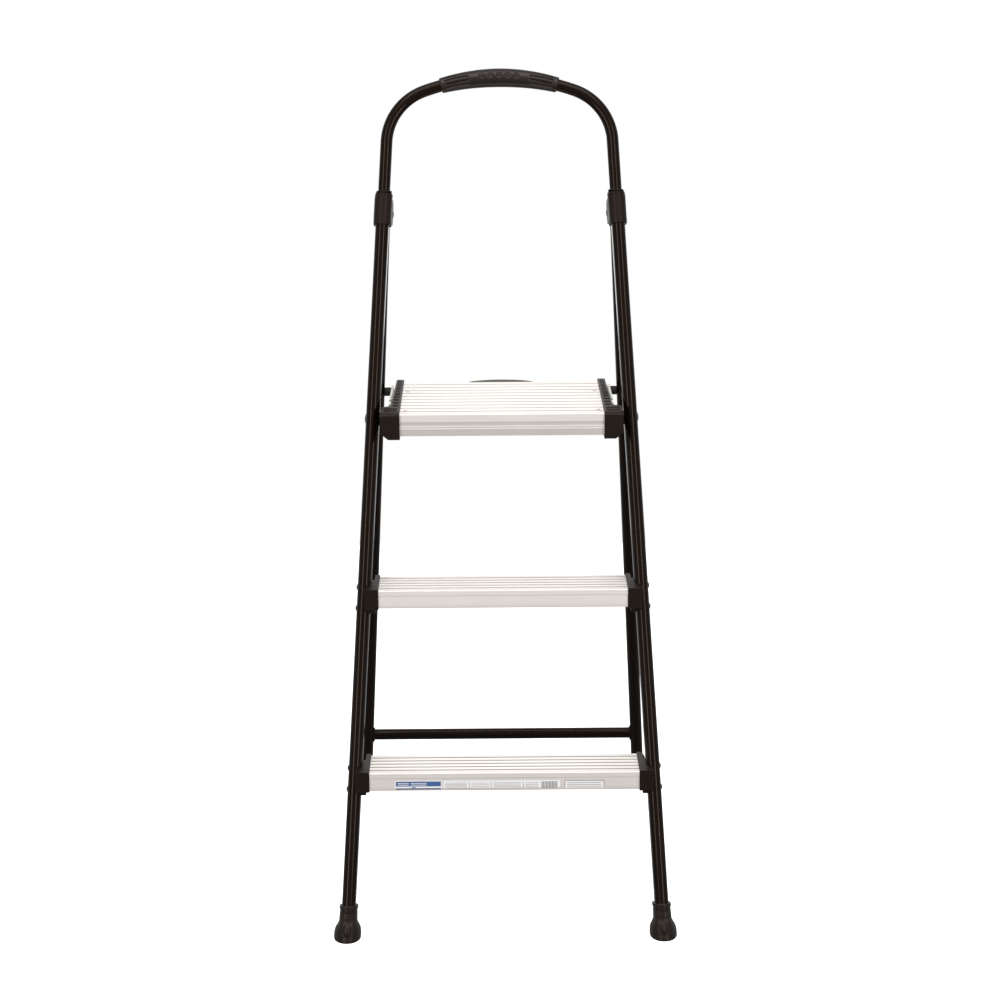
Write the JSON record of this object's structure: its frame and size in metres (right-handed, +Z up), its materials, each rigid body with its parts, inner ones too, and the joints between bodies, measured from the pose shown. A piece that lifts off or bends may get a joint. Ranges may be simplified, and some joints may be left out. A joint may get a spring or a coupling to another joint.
{
  "type": "folding step stool",
  "caption": "Folding step stool with aluminium steps, a wider top platform, a tall handrail loop with a grip and rubber feet.",
  "frame": {"origin": "on the floor, midway between the front and rear feet and midway between left and right", "axes": "+Z up, -Y towards the climbing side, +X to the climber's right"},
  "size_m": [0.4478, 0.69, 1.1025],
  "materials": {
    "black_steel": "gloss black powder coat on steel tube",
    "dark_steel": "blackened steel rivets and screws",
    "zinc_steel": "bright zinc plated steel",
    "ribbed_aluminium": "mill finish extruded aluminium with shallow grooves",
    "moulded_plastic": "fine textured moulded black plastic",
    "grip_plastic": "satin dark grey moulded grip",
    "nylon": "black nylon washers and spacers",
    "foot_rubber": "matte black rubber"
  },
  "bodies": {
    "front_frame": {"front_rail_left": "black_steel", "front_rail_right": "black_steel", "handrail": "black_steel", "grip_front_shell": "grip_plastic", "grip_rear_shell": "grip_plastic", "grip_screws": "dark_steel", "hinge_connector_left": "moulded_plastic", "hinge_connector_right": "moulded_plastic", "connector_rivets": "dark_steel", "hinge_rivet_left": "dark_steel", "hinge_rivet_right": "dark_steel", "bottom_step_tread": "ribbed_aluminium", "middle_step_tread": "ribbed_aluminium", "bottom_step_bracket_left": "moulded_plastic", "bottom_step_bracket_right": "moulded_plastic", "middle_step_bracket_left": "moulded_plastic", "middle_step_bracket_right": "moulded_plastic", "bottom_step_rivets": "dark_steel", "middle_step_rivets": "dark_steel", "front_foot_left": "foot_rubber", "front_foot_right": "foot_rubber", "platform_pivot_rivet_left": "dark_steel", "platform_pivot_rivet_right": "dark_steel", "platform_pivot_washer_left": "nylon", "platform_pivot_washer_right": "nylon"},
    "rear_frame": {"rear_leg_left": "black_steel", "rear_leg_right": "black_steel", "rear_cross_brace": "black_steel", "rear_foot_left": "foot_rubber", "rear_foot_right": "foot_rubber", "link_rear_rivet_left": "zinc_steel", "link_rear_rivet_right": "zinc_steel", "link_rear_spacer_left": "nylon", "link_rear_spacer_right": "nylon"},
    "platform": {"platform_tread": "ribbed_aluminium", "platform_end_cap_left": "moulded_plastic", "platform_end_cap_right": "moulded_plastic", "platform_screws": "zinc_steel", "platform_pull_handle": "moulded_plastic", "handle_screws": "zinc_steel"},
    "link_left": {"link_left": "zinc_steel", "link_front_rivet_left": "zinc_steel", "link_front_spacer_left": "nylon"},
    "link_right": {"link_right": "zinc_steel", "link_front_rivet_right": "zinc_steel", "link_front_spacer_right": "nylon"}
  },
  "joints": [
    {"name": "rear_fold", "type": "hinge", "parent": "front_frame", "child": "rear_frame", "pos_m": [0, -0.04214, 0.912], "axis": [-1, 0, 0], "range_deg": [0, 35.5]},
    {"name": "platform_fold", "type": "hinge", "parent": "front_frame", "child": "platform", "pos_m": [0, -0.15055, 0.6552], "axis": [1, 0, 0], "range_deg": [0, 75.5]},
    {"name": "link_left_swing", "type": "hinge", "parent": "rear_frame", "child": "link_left", "pos_m": [-0.14925, 0.06082, 0.6527], "axis": [-1, 0, 0], "range_deg": [0, 46.67]},
    {"name": "link_right_swing", "type": "hinge", "parent": "rear_frame", "child": "link_right", "pos_m": [0.14925, 0.06082, 0.6527], "axis": [-1, 0, 0], "range_deg": [0, 46.67]}
  ],
  "couplings": [
    {"joint": "platform_fold", "follows": "rear_fold", "ratio": 2.1267},
    {"joint": "link_left_swing", "follows": "rear_fold", "ratio": 1.3144},
    {"joint": "link_right_swing", "follows": "rear_fold", "ratio": 1.3144}
  ]
}
